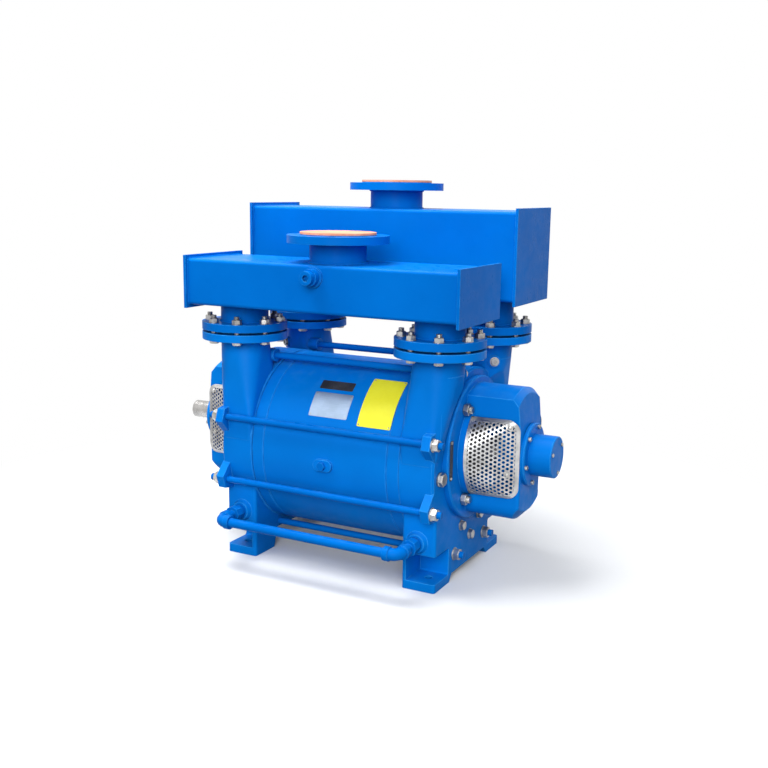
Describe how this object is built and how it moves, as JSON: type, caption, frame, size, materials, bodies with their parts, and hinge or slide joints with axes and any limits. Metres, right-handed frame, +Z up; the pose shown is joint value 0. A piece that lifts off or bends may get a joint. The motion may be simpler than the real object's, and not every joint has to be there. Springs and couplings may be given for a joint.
{
  "type": "liquid ring vacuum pump",
  "caption": "Flat-casing liquid ring vacuum pump with horned end shields, lantern bearing brackets with bulged guards, box manifolds on top and a front drain line.",
  "frame": {"origin": "on the floor, midway between the four foot bolts and below the shaft axis", "axes": "+X along the shaft away from the drive end, -Y the front with the drain line, +Z up"},
  "size_m": [1.242, 0.696, 1.117],
  "materials": {
    "blue_paint": "gloss enamel",
    "zinc_steel": "zinc plated",
    "guard_steel": "perforated stainless sheet",
    "shaft_steel": "ground",
    "bearing_steel": "polished",
    "bare_iron": "machined casting",
    "gasket_rubber": "matte",
    "packing_fibre": "braided",
    "cover_plastic": "hardboard brown"
  },
  "bodies": {
    "pump_body": {"casing": "blue_paint", "casing_plug": "blue_paint", "port_plate_de": "blue_paint", "port_plate_nde": "blue_paint", "end_shield_de": "blue_paint", "end_shield_nde": "blue_paint", "shield_plugs": "zinc_steel", "packing_de": "packing_fibre", "packing_nde": "packing_fibre", "gland_de": "bare_iron", "gland_nde": "bare_iron", "gland_studs": "zinc_steel", "gland_nuts": "zinc_steel", "bearing_bracket_de": "blue_paint", "bearing_bracket_nde": "blue_paint", "bracket_bolts": "zinc_steel", "bearing_outer_de": "bearing_steel", "bearing_outer_nde": "bearing_steel", "bearing_balls_de": "bearing_steel", "bearing_balls_nde": "bearing_steel", "bearing_cover_de": "blue_paint", "bearing_cover_nde": "blue_paint", "cover_screws": "zinc_steel", "end_cap": "blue_paint", "cap_screws": "zinc_steel", "guard_de_front": "guard_steel", "guard_de_rear": "guard_steel", "guard_nde_front": "guard_steel", "guard_nde_rear": "guard_steel", "tie_rods": "blue_paint", "tie_rod_nuts": "zinc_steel", "front_manifold": "blue_paint", "rear_manifold": "blue_paint", "manifold_plug": "blue_paint", "flange_gaskets": "gasket_rubber", "flange_bolts": "zinc_steel", "flange_nuts": "zinc_steel", "front_port_cover": "cover_plastic", "rear_port_cover": "cover_plastic", "drain_pipe": "blue_paint", "drain_elbow_de": "blue_paint", "drain_elbow_nde": "blue_paint", "drain_union_de": "blue_paint", "drain_union_nde": "blue_paint"},
    "rotor": {"shaft": "shaft_steel", "impeller": "bare_iron", "shaft_sleeve_de": "shaft_steel", "shaft_sleeve_nde": "shaft_steel", "bearing_inner_de": "bearing_steel", "bearing_inner_nde": "bearing_steel", "shaft_nut_de": "shaft_steel", "shaft_nut_nde": "shaft_steel"}
  },
  "joints": [
    {"name": "rotor_spin", "type": "hinge", "parent": "pump_body", "child": "rotor", "pos_m": [0, 0, 0.3675], "axis": [1, 0, 0], "continuous": true}
  ]
}
